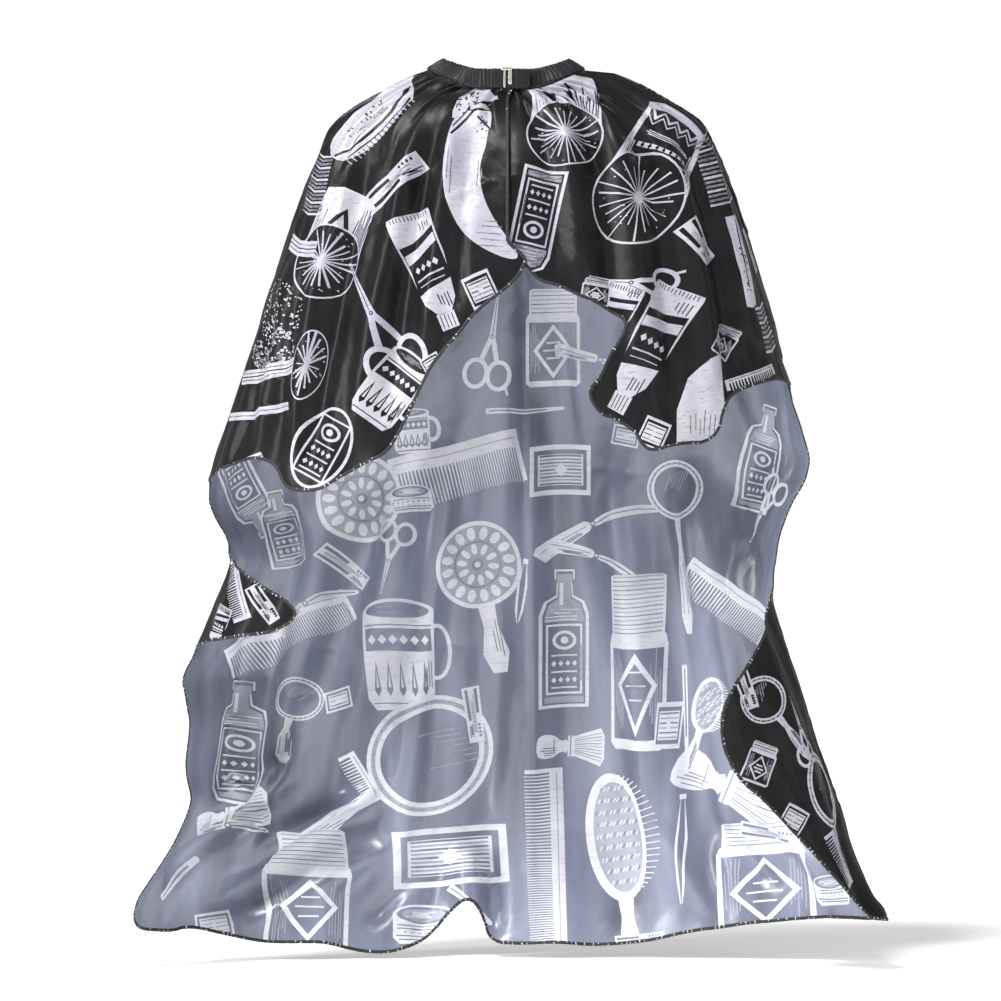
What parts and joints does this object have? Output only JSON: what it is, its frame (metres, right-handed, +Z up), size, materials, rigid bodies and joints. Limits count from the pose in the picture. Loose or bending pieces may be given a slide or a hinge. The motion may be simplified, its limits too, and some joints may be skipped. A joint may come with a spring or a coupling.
{
  "type": "barber cape",
  "caption": "Barber cape of thin printed satin with a gathered elastic neckband, closed at the nape by a two-prong metal clip.",
  "frame": {"origin": "centre of the neck opening, 10 mm below the top of the neckband at the nape", "axes": "+Z up along the wearer's neck, -Y towards the wearer's back where the clip is, +X towards the right of someone looking at the wearer's back"},
  "size_m": [0.8188, 0.3189, 0.9975],
  "materials": {
    "satin": "satin",
    "band_satin": "satin",
    "elastic": "matte",
    "thread": "matte",
    "ribbon": "matte",
    "clip_metal": "polished"
  },
  "bodies": {
    "cape": {"cape_panel": "satin", "opening_overlock_left": "thread", "back_hem_overlock_left": "thread", "side_overlock_left": "thread", "bottom_hem_overlock": "thread", "side_overlock_right": "thread", "back_hem_overlock_right": "thread", "opening_overlock_right": "thread", "neckband_casing": "band_satin", "neckband_elastic": "elastic", "band_topstitch": "thread", "neck_seam_overlock": "thread", "bar_tacks": "thread"},
    "tab": {"clip_tab": "ribbon"},
    "clip": {"neck_clip": "clip_metal"}
  },
  "joints": [
    {"name": "neck_size_slide", "type": "slide", "parent": "cape", "child": "tab", "axis": [1, 0, 0], "range_m": [-0.01, 0.01]},
    {"name": "clip_lift", "type": "slide", "parent": "tab", "child": "clip", "axis": [0, 0, 1], "range_m": [0, 0.024]}
  ]
}
